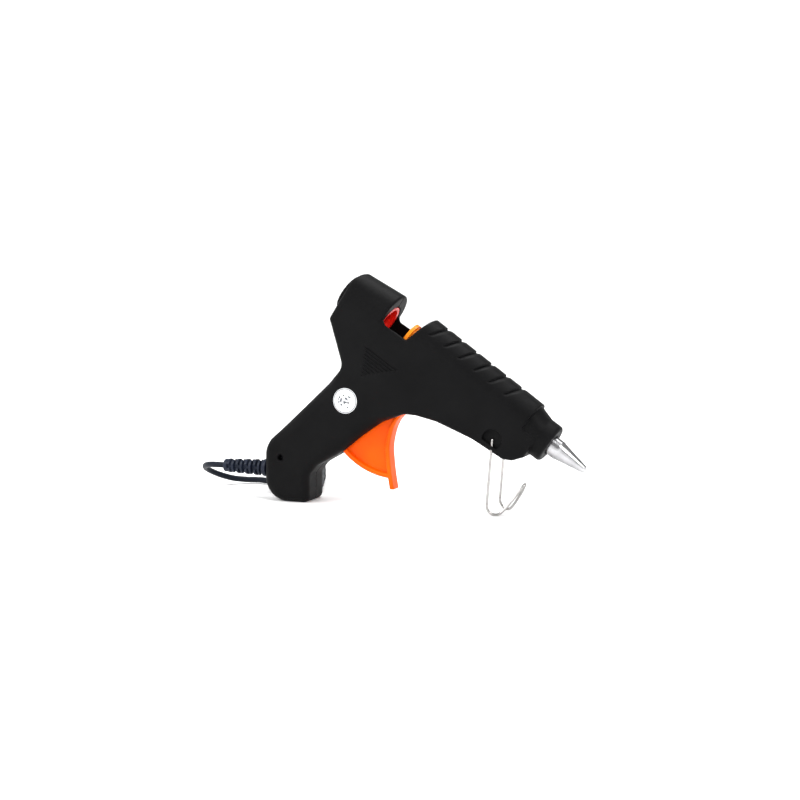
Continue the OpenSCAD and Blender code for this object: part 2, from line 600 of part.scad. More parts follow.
// a point in the hank's own frame: a along it, away from the handle, b across it
function hank_point(a, b, z) = [hank_at.x - a*sin(hank_turn) + b*cos(hank_turn),
    hank_at.y + a*cos(hank_turn) + b*sin(hank_turn), z];
cord_route = [for (q = [[-37.33, 0, 19.8], [-44.33, 1.5, 19.4], [-50.33, 5.5, 18.2], [-54.6, 11.5, 15.8],
    [-56.2, 18.5, 12.8], [-54.8, 25.5, 9.6], [-51.2, 32, 6.6], [-45.8, 38, 4.2], [-38.6, 43.3, 3],
    [-30.3, 46.5, 2.8], [-22.83, 45.5, 2.8]]) q + [heel_back, 0, 0]];
module power_cord() color([0.12, 0.13, 0.17])
    tube(concat([[heel_x + 6, 0, cord_z], [heel_back, 0, cord_z]], cord_route,
        [hank_point(-14, -hank_w/2 + 1, 2.8)]), cord_r);
module in_hank() translate([hank_at.x, hank_at.y, 0]) rotate([0, 0, hank_turn]) children();
module cord_hank() color([0.12, 0.13, 0.17]) in_hank() translate([0, 0, hank_floor]) {
    straight = hank_len/2 - hank_w/2;
    translate([-hank_w/2, -straight, 0]) cube([hank_w, 2*straight, hank_h]);
    for (s = [-1, 1]) translate([0, s*straight, 0]) cylinder(r = hank_w/2, h = hank_h);
}
tie_t = 0.7;
tie_w = 4;
module cord_tie() color([0.05, 0.05, 0.05]) in_hank() difference() {
    translate([-hank_w/2 - tie_t, -tie_w/2, hank_floor - tie_t]) cube([hank_w + 2*tie_t, tie_w, hank_h + 2*tie_t]);
    translate([-hank_w/2, -tie_w, hank_floor]) cube([hank_w, 2*tie_w, hank_h]);
}

// the plug lies on the hank, turned a little across it
plug_turn = -24;
plug_z = 25.4;
plug_at = hank_point(-16.3, 14.07, plug_z);
relief_len = 14;
plug_len = 34;
plug_wide = 35.3;
plug_thick = 13.7;
plug_rear = 15;
plug_pin_d = 4;
plug_pin_len = 19;
plug_pin_gap = 18.2;
tail_route = [[-6, -16, 15.2], [-14, -16, 15.6], [-22.5, -15.5, 16.9], [-30, -13.4, 18.7], [-35.7, -8, 20.6],
    [-38, 0, 22.4], [-35.7, 8, 24], [-30, 13.4, 25], [-22.6, 15.4, 25.4]];
module plug_tail() color([0.12, 0.13, 0.17])
    tube(concat([for (q = tail_route) hank_point(q.x, q.y, q.z)], [plug_at]), cord_r);
// the plug's own frame: x runs from the cord to the pins
module in_plug() translate(plug_at) rotate([0, 0, 90 + hank_turn - plug_turn]) children();
module plug_body() color([0.12, 0.13, 0.17]) in_plug() {
    rotate([0, 90, 0]) rotate_extrude() polygon([[0, 0], [3, 0], [4.6, relief_len + 2], [0, relief_len + 2]]);
    translate([0, 0, -plug_thick/2]) linear_extrude(plug_thick) polygon([
        [relief_len, -plug_rear/2], [relief_len + 8, -plug_wide/2 + 3], [relief_len + 15, -plug_wide/2],
        [relief_len + plug_len, -plug_wide/2 + 3], [relief_len + plug_len, plug_wide/2 - 3],
        [relief_len + 15, plug_wide/2], [relief_len + 8, plug_wide/2 - 3], [relief_len, plug_rear/2]]);
}
module plug_pins() color(steel) in_plug() for (s = [-1, 1])
    translate([relief_len + plug_len, s*plug_pin_gap/2, 0]) rotate([0, 90, 0]) {
        cylinder(d = plug_pin_d, h = plug_pin_len);
        translate([0, 0, -8]) cylinder(d = plug_pin_d - 0.6, h = 9);
    }

left_shell();
right_shell();
nozzle();
check_ball();
check_spring();
heating_chamber();
heater_plate();
heater_electrodes();
heater_insulation();
heater_clip();
silicone_sleeve();
sleeve_clamp();
inlet_bush();
feed_carriage();
grip_jaw();
jaw_pin();
trigger();
trigger_pin();
return_spring();
wire_stand();
strain_relief();
cord_clamp();
clamp_screws();
housing_screws();
handle_screw();
heater_leads();
cord_cores();
crimp_sleeves();
side_label();
power_cord();
cord_hank();
cord_tie();
plug_tail();
plug_body();
plug_pins();
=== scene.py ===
# A hot melt glue gun standing on its heel and its wire stand.
# Lengths in the dictionaries are in millimetres; meshes are written in metres.
import math

import bpy
import numpy as np
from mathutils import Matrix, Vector


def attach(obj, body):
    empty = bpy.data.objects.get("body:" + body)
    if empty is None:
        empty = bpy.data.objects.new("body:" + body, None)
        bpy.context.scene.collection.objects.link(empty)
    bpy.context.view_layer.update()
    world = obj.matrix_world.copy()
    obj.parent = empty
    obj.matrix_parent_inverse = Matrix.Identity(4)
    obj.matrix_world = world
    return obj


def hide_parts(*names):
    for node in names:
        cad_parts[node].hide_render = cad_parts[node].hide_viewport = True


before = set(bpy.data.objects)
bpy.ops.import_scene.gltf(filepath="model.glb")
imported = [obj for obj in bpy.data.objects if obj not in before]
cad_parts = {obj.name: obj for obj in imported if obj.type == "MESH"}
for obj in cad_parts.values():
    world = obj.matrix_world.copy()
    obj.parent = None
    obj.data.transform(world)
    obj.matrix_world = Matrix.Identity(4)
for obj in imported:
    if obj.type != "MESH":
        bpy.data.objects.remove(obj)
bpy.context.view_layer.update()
print("frame loaded")

# where the stick's axis lies: u runs forward along it, v up across it
stance = {"lean": 34.0, "gunX": -52.28, "axisHeight": 140.0}
leanCos = math.cos(math.radians(stance["lean"]))
leanSin = math.sin(math.radians(stance["lean"]))


def toWorld(u, y, v):
    # x = gunX + u cos + v sin, z = axisHeight - u sin + v cos, then millimetres to metres
    return np.stack([stance["gunX"] + u * leanCos + v * leanSin, y + 0 * u,
                     stance["axisHeight"] - u * leanSin + v * leanCos], -1) / 1000


def toGun(x, z):
    # the other way: u = (x - gunX) cos - (z - axisHeight) sin, v = (x - gunX) sin + (z - axisHeight) cos
    dx, dz = x - stance["gunX"], z - stance["axisHeight"]
    return dx * leanCos - dz * leanSin, dx * leanSin + dz * leanCos


# camera and light
viewpoint = {"azimuth": 22.0, "elevation": 6.5, "distance": 1.1, "aim": (-0.0153, 0.0, 0.0698), "lens": 76.2}
turn, tilt = math.radians(viewpoint["azimuth"]), math.radians(viewpoint["elevation"])
backward = Vector((math.sin(turn) * math.cos(tilt), -math.cos(turn) * math.cos(tilt), math.sin(tilt)))
cameraData = bpy.data.cameras.new("camera")
cameraData.lens, cameraData.sensor_width = viewpoint["lens"], 36
cameraData.clip_start, cameraData.clip_end = 0.05, 20
camera = bpy.data.objects.new("camera", cameraData)
camera.location = Vector(viewpoint["aim"]) + backward * viewpoint["distance"]
camera.rotation_mode = "QUATERNION"
camera.rotation_quaternion = (-backward).to_track_quat("-Z", "Y")
bpy.context.collection.objects.link(camera)
bpy.context.scene.camera = camera

lamps = {
    "softboxLeft": {"place": (-1.0, -1.2, 1.5), "size": 1.2, "watts": 34},
    "softboxRight": {"place": (1.3, -0.6, 1.3), "size": 0.9, "watts": 16},
    "softboxTop": {"place": (0.1, 0.5, 2.0), "size": 1.5, "watts": 46},
}
for lampName, lamp in lamps.items():
    light = bpy.data.lights.new(lampName, "AREA")
    light.energy, light.size = lamp["watts"], lamp["size"]
    holder = bpy.data.objects.new(lampName, light)
    holder.location = lamp["place"]
    holder.rotation_mode = "QUATERNION"
    holder.rotation_quaternion = (Vector((0, 0, 0.06)) - holder.location).to_track_quat("-Z", "Y")
    bpy.context.collection.objects.link(holder)
world = bpy.data.worlds.new("studio")
world.use_nodes = True
world.node_tree.nodes["Background"].inputs["Color"].default_value = (1, 1, 1, 1)
world.node_tree.nodes["Background"].inputs["Strength"].default_value = 0.38
bpy.context.scene.world = world
bpy.context.scene.view_settings.view_transform = "Standard"

studio = {"radius": 2.2, "wallHeight": 0.85, "floorTone": 0.93, "wallTone": 0.2, "wallGlow": 1.02,
          "around": 96}


def studioSurface(name, rings, tone, glow):
    # rings of (radius, height) round the upright axis, joined from one to the next
    around = studio["around"]
    angle = np.linspace(0, 2 * math.pi, around, endpoint=False)
    r, z = np.array(rings, float).T[:, :, None]
    points = np.stack([r * np.cos(angle), r * np.sin(angle), z + 0 * angle], -1).reshape(-1, 3)
    i = np.arange(around)
    j = (i + 1) % around
    faces = [np.stack([k * around + i, k * around + j, (k + 1) * around + j, (k + 1) * around + i], -1)
             for k in range(len(rings) - 1)]
    mesh = bpy.data.meshes.new(name)
    mesh.from_pydata(points.tolist(), [], np.concatenate(faces)[:, ::-1].tolist())
    surface = bpy.data.objects.new(name, mesh)
    bpy.context.collection.objects.link(surface)
    paint = bpy.data.materials.new(name)
    paint.use_nodes = True
    shader = paint.node_tree.nodes["Principled BSDF"]
    shader.inputs["Base Color"].default_value = (tone, tone, tone, 1)
    shader.inputs["Roughness"].default_value = 0.9
    shader.inputs["Specular IOR Level"].default_value = 0.1
    shader.inputs["Emission Color"].default_value = (1, 1, 1, 1)
    shader.inputs["Emission Strength"].default_value = glow
    mesh.materials.append(paint)


studioSurface("floor", [(0.0005, 0), (studio["radius"], 0)], studio["floorTone"], 0.0)
studioSurface("wall", [(studio["radius"], 0), (studio["radius"], studio["wallHeight"])],
              studio["wallTone"], studio["wallGlow"])
print("camera and lights placed")


# finishes
def addNode(tree, kind, **settings):
    node = tree.nodes.new(kind)
    for key, value in settings.items():
        if key in node.inputs:
            node.inputs[key].default_value = value
        else:
            setattr(node, key, value)
    return node


def makeFinish(name, colours, roughness, grain, bump, metallic=0.0, patch=0.02, gloss=0.5, edge=1.0):
    # colour wanders between two tones with a wide noise, roughness with a middle one, and a fine
    # noise of the grain's size gives the bump
    material = bpy.data.materials.new(name)
    material.use_nodes = True
    tree = material.node_tree
    shader = tree.nodes["Principled BSDF"]
    place = addNode(tree, "ShaderNodeTexCoord")
    wide = addNode(tree, "ShaderNodeTexNoise", Scale=1 / patch, Detail=4.0)
    middle = addNode(tree, "ShaderNodeTexNoise", Scale=5 / patch, Detail=3.0)
    fine = addNode(tree, "ShaderNodeTexNoise", Scale=1 / grain, Detail=2.0)
    for noise in (wide, middle, fine):
        tree.links.new(place.outputs["Object"], noise.inputs["Vector"])
    ramp = addNode(tree, "ShaderNodeValToRGB")
    ramp.color_ramp.elements[0].position, ramp.color_ramp.elements[1].position = 0.3, 0.7
    ramp.color_ramp.elements[0].color = (*colours[0], 1)
    ramp.color_ramp.elements[1].color = (*colours[1], 1)
    tree.links.new(wide.outputs["Fac"], ramp.inputs["Fac"])
    tree.links.new(ramp.outputs["Color"], shader.inputs["Base Color"])
    spread = addNode(tree, "ShaderNodeMapRange")
    spread.inputs["To Min"].default_value, spread.inputs["To Max"].default_value = roughness
    tree.links.new(middle.outputs["Fac"], spread.inputs["Value"])
    tree.links.new(spread.outputs["Result"], shader.inputs["Roughness"])
    relief = addNode(tree, "ShaderNodeBump", Strength=bump[0], Distance=bump[1])
    tree.links.new(fine.outputs["Fac"], relief.inputs["Height"])
    tree.links.new(relief.outputs["Normal"], shader.inputs["Normal"])
    shader.inputs["Metallic"].default_value = metallic
    shader.inputs["Specular IOR Level"].default_value = gloss
    shader.inputs["Specular Tint"].default_value = (edge, edge, edge, 1)
    return material


finishes = {
    "blackShell": makeFinish("blackShell", ((0.0036, 0.0036, 0.0038), (0.0055, 0.0055, 0.0058)),
                             (0.4, 0.54), 0.00035, (0.25, 0.0001), patch=0.03, gloss=0.05),
    "orangePlastic": makeFinish("orangePlastic", ((0.93, 0.082, 0.0), (1.0, 0.115, 0.0)), (0.3, 0.42),
                                0.0006, (0.12, 0.0001), patch=0.02, gloss=0.1),
    "bushOrange": makeFinish("bushOrange", ((0.82, 0.19, 0.003), (0.9, 0.25, 0.006)), (0.3, 0.42),
                             0.0006, (0.12, 0.0001), patch=0.02, gloss=0.2),
    "redPlastic": makeFinish("redPlastic", ((0.7, 0.008, 0.004), (0.85, 0.016, 0.008)), (0.28, 0.4),
                             0.0006, (0.12, 0.0001), patch=0.015, gloss=0.3),
    "aluminium": makeFinish("aluminium", ((0.42, 0.42, 0.43), (0.56, 0.56, 0.57)), (0.16, 0.26),
                            0.0004, (0.12, 0.00005), metallic=1.0, patch=0.008, edge=0.12),
    "castAluminium": makeFinish("castAluminium", ((0.55, 0.55, 0.56), (0.68, 0.68, 0.7)), (0.4, 0.55),
                                0.0006, (0.4, 0.0001), metallic=1.0, patch=0.01),
    "wire": makeFinish("wire", ((0.34, 0.33, 0.32), (0.46, 0.45, 0.44)), (0.14, 0.26),
                       0.0003, (0.15, 0.00004), metallic=1.0, patch=0.006, edge=0.05),
    "steel": makeFinish("steel", ((0.45, 0.45, 0.46), (0.6, 0.6, 0.6)), (0.25, 0.4),
                        0.0003, (0.2, 0.00005), metallic=1.0, patch=0.005),
    "darkSteel": makeFinish("darkSteel", ((0.02, 0.02, 0.022), (0.035, 0.035, 0.04)), (0.35, 0.5),
                            0.0003, (0.2, 0.00005), metallic=1.0, patch=0.005),
    "cordRubber": makeFinish("cordRubber", ((0.0065, 0.0085, 0.013), (0.01, 0.0125, 0.02)), (0.4, 0.55),
                             0.0004, (0.2, 0.0001), patch=0.02, gloss=0.1),
    "bootRubber": makeFinish("bootRubber", ((0.007, 0.0105, 0.02), (0.012, 0.016, 0.03)), (0.36, 0.5),
                             0.0004, (0.25, 0.0001), patch=0.01, gloss=0.16),
    "ceramic": makeFinish("ceramic", ((0.09, 0.08, 0.08), (0.14, 0.13, 0.13)), (0.6, 0.8),
                          0.0003, (0.4, 0.0001)),
    "brass": makeFinish("brass", ((0.6, 0.42, 0.17), (0.75, 0.55, 0.26)), (0.25, 0.4),
                        0.0003, (0.2, 0.0001), metallic=1.0, patch=0.005),
    "film": makeFinish("film", ((0.5, 0.22, 0.03), (0.62, 0.3, 0.05)), (0.2, 0.3), 0.001, (0.1, 0.0001)),
    "silicone": makeFinish("silicone", ((0.36, 0.025, 0.015), (0.46, 0.04, 0.02)), (0.5, 0.65),
                           0.0004, (0.2, 0.0001)),
    "whiteNylon": makeFinish("whiteNylon", ((0.6, 0.6, 0.57), (0.72, 0.72, 0.69)), (0.4, 0.55),
                             0.0004, (0.2, 0.0001)),
    "braid": makeFinish("braid", ((0.5, 0.5, 0.48), (0.74, 0.74, 0.71)), (0.7, 0.85),
                        0.0003, (0.8, 0.0002), patch=0.001),
    "coreBrown": makeFinish("coreBrown", ((0.1, 0.04, 0.015), (0.15, 0.06, 0.025)), (0.35, 0.5),
                            0.0004, (0.2, 0.0001)),
    "tieNylon": makeFinish("tieNylon", ((0.008, 0.008, 0.008), (0.014, 0.014, 0.014)), (0.3, 0.45),
                           0.0003, (0.3, 0.0001), patch=0.01),
}
print("finishes mixed")


def placePiece(name, data, finish, body, replaced=()):
    # one object at the origin with its finish, the body it rides on and the nodes it stands for
    piece = bpy.data.objects.new(name, data)
    bpy.context.collection.objects.link(piece)
    data.materials.append(finishes[finish] if isinstance(finish, str) else finish)
    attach(piece, body)
    if replaced:
        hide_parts(*replaced)
    return piece


def makePiece(name, points, quads, finish, body, replaced=(), smooth=60):
    # a mesh of quads, smooth except where its faces meet at more than the given angle
    mesh = bpy.data.meshes.new(name)
    mesh.vertices.add(len(points))
    mesh.vertices.foreach_set("co", np.ascontiguousarray(points, np.float32).ravel())
    quads = np.asarray(quads)
    mesh.loops.add(quads.size)
    mesh.loops.foreach_set("vertex_index", quads.ravel().astype(np.int32))
    mesh.polygons.add(len(quads))
    mesh.polygons.foreach_set("loop_start", np.arange(0, quads.size, quads.shape[1], dtype=np.int32))
    mesh.polygons.foreach_set("use_smooth", np.ones(len(quads), bool))
    mesh.update(calc_edges=True)
    mesh.validate()
    mesh.set_sharp_from_angle(angle=math.radians(smooth))
    return placePiece(name, mesh, finish, body, replaced)


def gridQuads(rows, columns, closed=False):
    # quads between neighbours in a grid of points whose rows run round; a closed grid also joins
    # its last row to its first
    i, j = np.meshgrid(np.arange(rows if closed else rows - 1), np.arange(columns), indexing="ij")
    after, k = (i + 1) % rows, (j + 1) % columns
    quads = np.stack([i * columns + j, i * columns + k, after * columns + k, after * columns + j], -1)
    return quads.reshape(-1, 4)


def endFans(rings, around):
    # triangles from the first and last ring to the two middle points that follow all the rings
    j = np.arange(around)
    k = (j + 1) % around
    n = rings * around
    return np.concatenate([np.stack([k, j, 0 * j + n], -1),
                           np.stack([n - around + j, n - around + k, 0 * j + n + 1], -1)])


def turnedSurface(profile, around):
    # profile rows are (distance s along the axis, radius r); point = (s, r cos a, r sin a)
    angle = np.linspace(0, 2 * math.pi, around, endpoint=False)
    s, r = profile[:, :1], profile[:, 1:2]
    return np.stack([s + 0 * angle, r * np.cos(angle), r * np.sin(angle)], -1)


def roundTube(path, radius, around):
    # rings of radius r square to the path, each frame turned as little as it can be from the last;
    # the two ends close with a small dome
    ahead = np.gradient(path, axis=0)
    ahead /= np.linalg.norm(ahead, axis=1, keepdims=True)
    side = np.zeros_like(path)
    start = np.array([0, 0, 1.0]) if abs(ahead[0, 2]) < 0.8 else np.array([1.0, 0, 0])
    for i, t in enumerate(ahead):
        start = start - t * (start @ t)
        start /= np.linalg.norm(start)
        side[i] = start
    other = np.cross(ahead, side)
    angle = np.linspace(0, 2 * math.pi, around, endpoint=False)
    rings = path[:, None] + radius * (np.cos(angle)[:, None] * side[:, None]
                                      + np.sin(angle)[:, None] * other[:, None])
    capRadii = np.array([0.02, 0.5, 0.87])
    capReach = radius * np.sqrt(1 - capRadii**2)[:, None] * 0.5
    first = path[0] - ahead[0] * capReach
    last = path[-1] + ahead[-1] * capReach[::-1]
    firstRings = first[:, None] + (rings[0] - path[0])[None] * capRadii[:, None, None]
    lastRings = last[:, None] + (rings[-1] - path[-1])[None] * capRadii[::-1, None, None]
    rings = np.concatenate([firstRings, rings, lastRings])
    points = np.concatenate([rings.reshape(-1, 3), [first[0], last[-1]]])
    return points, gridQuads(len(rings), around), endFans(len(rings), around)


def smoothPath(points, step):
    # a Catmull-Rom curve through the points, sampled about every step
    p = np.asarray(points, float)
    p = np.concatenate([[2 * p[0] - p[1]], p, [2 * p[-1] - p[-2]]])
    count = np.maximum(2, np.ceil(np.linalg.norm(np.diff(p[1:-1], axis=0), axis=1) / step).astype(int))
    seg = np.repeat(np.arange(len(count)), count)
    t = (np.arange(len(seg)) - np.repeat(np.cumsum(count) - count, count)) / count[seg]
    t = t[:, None]
    a, b, c, d = p[seg], p[seg + 1], p[seg + 2], p[seg + 3]
    curve = 0.5 * (2 * b + (c - a) * t + (2 * a - 5 * b + 4 * c - d) * t**2 + (3 * b - a - 3 * c + d) * t**3)
    return np.concatenate([curve, p[-2:-1]])


def cappedMesh(name, points, quads, caps):
    # a smooth mesh of quads with a fan of triangles at each end
    mesh = bpy.data.meshes.new(name)
    mesh.from_pydata(points.tolist(), [], quads.tolist() + caps.tolist())
    mesh.polygons.foreach_set("use_smooth", np.ones(len(mesh.polygons), bool))
    mesh.update()
    return mesh


def ease(x):
    # 3 x^2 - 2 x^3 between 0 and 1, flat outside
    x = np.clip(x, 0, 1)
    return x * x * (3 - 2 * x)


cordParts = {
    "diameter": 4.0, "start": (-82.37, 0, 19.8), "exit": (-110.67, 0, 19.8),
    "route": [(-148, 0, 19.8), (-155, 1.5, 19.4), (-161, 5.5, 18.2), (-165.27, 11.5, 15.8),
              (-166.87, 18.5, 12.8), (-165.47, 25.5, 9.6), (-161.87, 32, 6.6), (-156.47, 38, 4.2),
              (-149.27, 43.3, 3), (-140.97, 46.5, 2.8), (-133.5, 45.5, 2.8)],
    "hankAt": (-114.0, 55.0), "hankTurn": 22.0, "coreHalf": 21.0, "hankStart": (5.0, -17.0, 2.8),
    "radii": [16, 12, 12, 16, 16, 12, 12, 16], "heights": [2.8, 2.8, 6.9, 6.9, 11.0, 11.0, 15.1, 15.2],
    "tail": [(-6, -16, 15.2), (-14, -16, 15.6), (-22.5, -15.5, 16.9), (-30, -13.4, 18.7), (-35.7, -8, 20.6),
             (-38, 0, 22.4), (-35.7, 8, 24), (-30, 13.4, 25), (-22.6, 15.4, 25.4)],
    "plugAt": (-16.3, 14.07, 25.4),
}
hankCos = math.cos(math.radians(cordParts["hankTurn"]))
hankSin = math.sin(math.radians(cordParts["hankTurn"]))


def inHank(a, b, z):
    # a runs along the hank and b across it: x = hank x - a sin + b cos, y = hank y + a cos + b sin
    return np.stack([cordParts["hankAt"][0] - a * hankSin + b * hankCos,
                     cordParts["hankAt"][1] + a * hankCos + b * hankSin, z], -1)


def hankTurns(perTurn=40):
    # each turn runs at its own distance from a core line, straight beside it and half round at
    # each end; distance and height pass smoothly to the next turn's at the end of each turn
    half, lapStart = cordParts["coreHalf"], -10
    stations = np.array([0, 11, 55, 97, 141, 172.0]) / 172
    coreAt = np.array([lapStart, -half, -half, half, half, lapStart])
    angleAt = np.radians([-90, -90, -270, -270, -450, -450])
    turns = len(cordParts["radii"])
    t = np.arange(turns * perTurn) / perTurn
    lap, part = np.floor(t).astype(int), t % 1
    nextLap = np.minimum(lap + 1, turns - 1)
    blend = ease((part - 0.62) / 0.34)
    radii, heights = np.array(cordParts["radii"], float), np.array(cordParts["heights"], float)
    away = radii[lap] + (radii[nextLap] - radii[lap]) * blend
    height = heights[lap] + (heights[nextLap] - heights[lap]) * blend
    core, angle = np.interp(part, stations, coreAt), np.interp(part, stations, angleAt)
    return inHank(core + away * np.cos(angle), away * np.sin(angle), height)


tailPoints = inHank(*np.array(cordParts["tail"], float).T)
plugPoint = inHank(*np.array([cordParts["plugAt"]]).T)
hankStart = inHank(*np.array([cordParts["hankStart"]]).T)
cordIn = smoothPath(np.concatenate([[cordParts["start"], (-96, 0, 19.8), cordParts["exit"], (-129, 0, 19.8)],
                                    cordParts["route"], hankStart]), 2.5)
cordPath = np.concatenate([cordIn, hankTurns(), smoothPath(np.concatenate([tailPoints, plugPoint]), 3.0)[1:]])
keep = np.concatenate([[True], np.linalg.norm(np.diff(cordPath, axis=0), axis=1) > 0.6])
cordPath = cordPath[keep]

cordCurve = bpy.data.curves.new("mainsCord", "CURVE")
cordCurve.dimensions = "3D"
cordCurve.bevel_depth, cordCurve.bevel_resolution = cordParts["diameter"] / 2000, 4
cordCurve.use_fill_caps = True
spline = cordCurve.splines.new("POLY")
spline.points.add(len(cordPath) - 1)
spline.points.foreach_set("co", np.concatenate([cordPath / 1000, np.ones((len(cordPath), 1))], 1).ravel())
mainsCord = placePiece("mainsCord", cordCurve, "cordRubber", "housing",
                       ["power_cord", "cord_hank", "plug_tail"])
print("cord laid")


# strain relief: from its collar in the heel's wall to its tip
boot = {"from": -110.67, "length": 33.0, "height": 19.8, "outer": 5.75, "narrowing": 1.2, "core": 3.1,
        "ribs": 8, "collar": 6.0, "stub": 3.9, "bore": 2.05, "ribStart": 3.3, "plainTip": 3.2, "around": 56}


def bootSurface():
    # radius over distance s and angle a: a slim core with ribs, each rib cut through on two
    # sides, the cuts of the next rib a quarter turn round; the outline narrows towards the tip
    s = np.concatenate([np.linspace(-4, 3.2, 14), np.linspace(boot["ribStart"], boot["length"] - 3, 200),
                        np.linspace(boot["length"] - 2.9, boot["length"], 16)])
    a = np.linspace(0, 2 * math.pi, boot["around"], endpoint=False)
    s2, a2 = np.meshgrid(s, a, indexing="ij")
    pitch = (boot["length"] - boot["ribStart"] - boot["plainTip"]) / boot["ribs"]
    count = np.floor((s2 - boot["ribStart"]) / pitch)
    phase = ((s2 - boot["ribStart"]) / pitch) % 1
    ribShape = np.clip(np.minimum(phase - 0.36, 0.97 - phase) / 0.07, 0, 1)
    slot = np.clip((np.abs(np.cos(a2 + count * math.pi / 2)) - 0.22) / 0.16, 0, 1)
    taper = boot["outer"] - boot["narrowing"] * np.clip(s2 / boot["length"], 0, 1)
    ribbed = boot["core"] + (taper - boot["core"]) * ribShape * slot
    collar = np.where(s2 < 0.2, boot["stub"], boot["collar"] - 0.35 * np.clip((s2 - 2.4) / 0.8, 0, 1))
    end = boot["length"] - s2
    tip = np.minimum(taper, 3.4 + np.sqrt(np.clip(1.2 * end, 0, 1)))
    r = np.where(s2 < boot["ribStart"] - 0.05, collar, np.where(end < boot["plainTip"], tip, ribbed))
    inner = np.full((2, len(a)), boot["bore"])
    r = np.concatenate([inner[:1], r, inner[1:]])
    s2 = np.concatenate([s2[:1], s2, s2[-1:]])
    a2 = np.concatenate([a2[:1], a2, a2[-1:]])
    return np.stack([boot["from"] - s2, r * np.cos(a2), boot["height"] + r * np.sin(a2)], -1) / 1000


bootGrid = bootSurface()
strainRelief = makePiece("strainRelief", bootGrid.reshape(-1, 3), gridQuads(*bootGrid.shape[:2], True),
                         "bootRubber", "housing", ["strain_relief"], smooth=35)

# plug: a ribbed neck, then the flat body
plug = {"turn": 136.0, "around": 64}


def superRing(halfWide, halfThick, power, count):
    # |y / halfWide|^n + |z / halfThick|^n = 1
    a = np.linspace(0, 2 * math.pi, count, endpoint=False)
    c, s = np.cos(a), np.sin(a)
    return np.stack([halfWide[:, None] * np.sign(c) * np.abs(c) ** (2 / power[:, None]),
                     halfThick[:, None] * np.sign(s) * np.abs(s) ** (2 / power[:, None])], -1)


plugRows = np.array([  # distance, half width, half thickness, roundness
    (0, 2.1, 2.1, 2), (0.01, 2.9, 2.9, 2), (0.8, 3.1, 3.1, 2), (2.2, 3.2, 3.2, 2),
    (2.3, 2.6, 2.6, 2), (3.2, 2.6, 2.6, 2), (3.3, 3.4, 3.4, 2), (5.2, 3.6, 3.6, 2),
    (5.3, 2.9, 2.9, 2), (6.2, 2.9, 2.9, 2), (6.3, 3.8, 3.8, 2), (8.2, 4.0, 4.0, 2),
    (8.3, 3.2, 3.2, 2), (9.2, 3.3, 3.3, 2), (9.3, 4.2, 4.1, 2), (13.4, 4.7, 4.5, 2.1),
    (14.2, 6.2, 5.3, 2.4), (15.4, 8.6, 6.1, 3), (18, 11.6, 6.6, 4), (22, 15.2, 6.8, 5.5),
    (27, 17.3, 6.85, 7), (30, 17.5, 6.85, 7), (40, 16.0, 6.85, 7.5), (46.6, 14.9, 6.85, 7.5),
    (47.5, 14.5, 6.5, 7), (48, 13.8, 5.9, 6), (48.01, 0.3, 0.2, 2)], float)
plugRing = superRing(plugRows[:, 1], plugRows[:, 2], plugRows[:, 3], plug["around"])
plugTurn = math.radians(plug["turn"])
plugX = plugPoint[0, 0] + plugRows[:, :1] * math.cos(plugTurn) - plugRing[..., 0] * math.sin(plugTurn)
plugY = plugPoint[0, 1] + plugRows[:, :1] * math.sin(plugTurn) + plugRing[..., 0] * math.cos(plugTurn)
plugGrid = np.stack([plugX, plugY, plugPoint[0, 2] + plugRing[..., 1]], -1) / 1000
plugPoints = np.concatenate([plugGrid.reshape(-1, 3), [plugGrid[0].mean(0), plugGrid[-1].mean(0)]])
plugMesh = cappedMesh("plugBody", plugPoints, gridQuads(len(plugRows), plug["around"]),
                      endFans(len(plugRows), plug["around"]))
plugMesh.set_sharp_from_angle(angle=math.radians(40))
plugBody = placePiece("plugBody", plugMesh, "cordRubber", "housing", ["plug_body"])

tie = {"wide": 4.0, "thick": 1.0, "hankWide": 36.0, "low": 0.75, "high": 17.4,
       "around": 72, "cornering": 0.42}


def tieLoop():
    # a band swept round the hank's rounded section; its own section is a flat rounded strip
    a = np.linspace(0, 2 * math.pi, tie["around"], endpoint=False)
    c, s = np.cos(a), np.sin(a)
    halfHeight = (tie["high"] - tie["low"]) / 2
    b = (tie["hankWide"] / 2) * np.sign(c) * np.abs(c) ** tie["cornering"]
    z = halfHeight * np.sign(s) * np.abs(s) ** tie["cornering"]
    across = np.array([-1, -0.85, 0.85, 1, 0.85, -0.85]) * tie["wide"] / 2
    out = np.array([0.3, 0.62, 0.62, 0.3, 0, 0]) * tie["thick"]
    grow = 1 + out[None] / np.hypot(b, z)[:, None]
    return inHank(across[None] + 0 * b[:, None], b[:, None] * grow,
                  (tie["low"] + halfHeight) + z[:, None] * grow) / 1000


tieGrid = tieLoop()
cordTie = makePiece("cordTie", tieGrid.reshape(-1, 3), gridQuads(*tieGrid.shape[:2], True), "tieNylon",
                    "housing", ["cord_tie"])
print("boot, plug and tie made")


def roundMax(a, b, r):
    # the larger of two distances, with the edge between them rounded to radius r
    return np.minimum(np.maximum(a, b), -r) + np.hypot(np.maximum(a + r, 0), np.maximum(b + r, 0))


